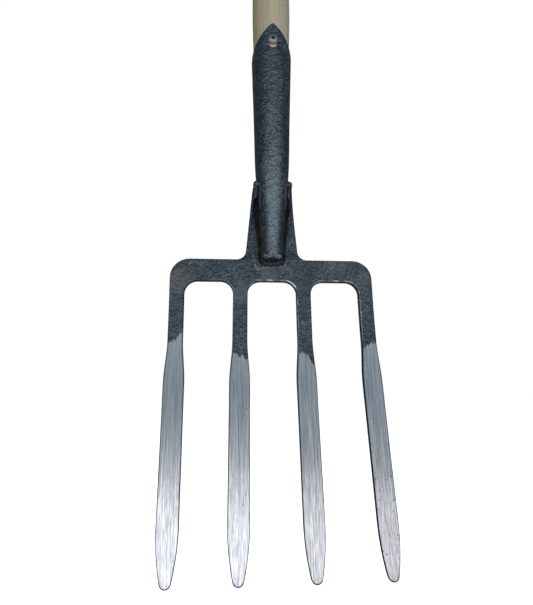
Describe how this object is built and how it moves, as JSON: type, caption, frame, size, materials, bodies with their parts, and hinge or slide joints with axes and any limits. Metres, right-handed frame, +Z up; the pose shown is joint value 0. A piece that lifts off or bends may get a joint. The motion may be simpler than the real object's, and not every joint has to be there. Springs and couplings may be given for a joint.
{
  "type": "digging fork",
  "caption": "Digging fork: forged head with flat ground tines, welded tapered socket with pointed tongues, ash shaft and turned crosspiece grip.",
  "frame": {"origin": "on the shaft's axis, at the middle of its straight round stretch", "axes": "+Z up the shaft towards the grip, tines point down (-Z) and curve forward, -Y is the front, where the socket lies on the crossbar, +X to the right seen from the front"},
  "size_m": [0.1939, 0.0615, 1.1003],
  "materials": {
    "forged_head": "dark blue-grey mottled paint over forged steel, blades ground bare along their length",
    "socket_paint": "dark blue-grey semi-gloss paint over hammered steel",
    "weld_paint": "painted weld bead, rippled",
    "ash_wood": "bare grey-beige ash, straight grain",
    "wedge_wood": "darker hardwood end grain",
    "screw_steel": "dull grey plated steel",
    "pin_steel": "filed flush steel"
  },
  "bodies": {
    "root": {"fork_head": "forged_head", "socket": "socket_paint", "left_weld": "weld_paint", "right_weld": "weld_paint", "toe_weld": "weld_paint", "handle_shaft": "ash_wood", "t_grip": "ash_wood", "tenon_wedge": "wedge_wood", "grip_pin": "pin_steel", "front_tongue_screw": "screw_steel", "rear_tongue_screw": "screw_steel"}
  },
  "joints": []
}
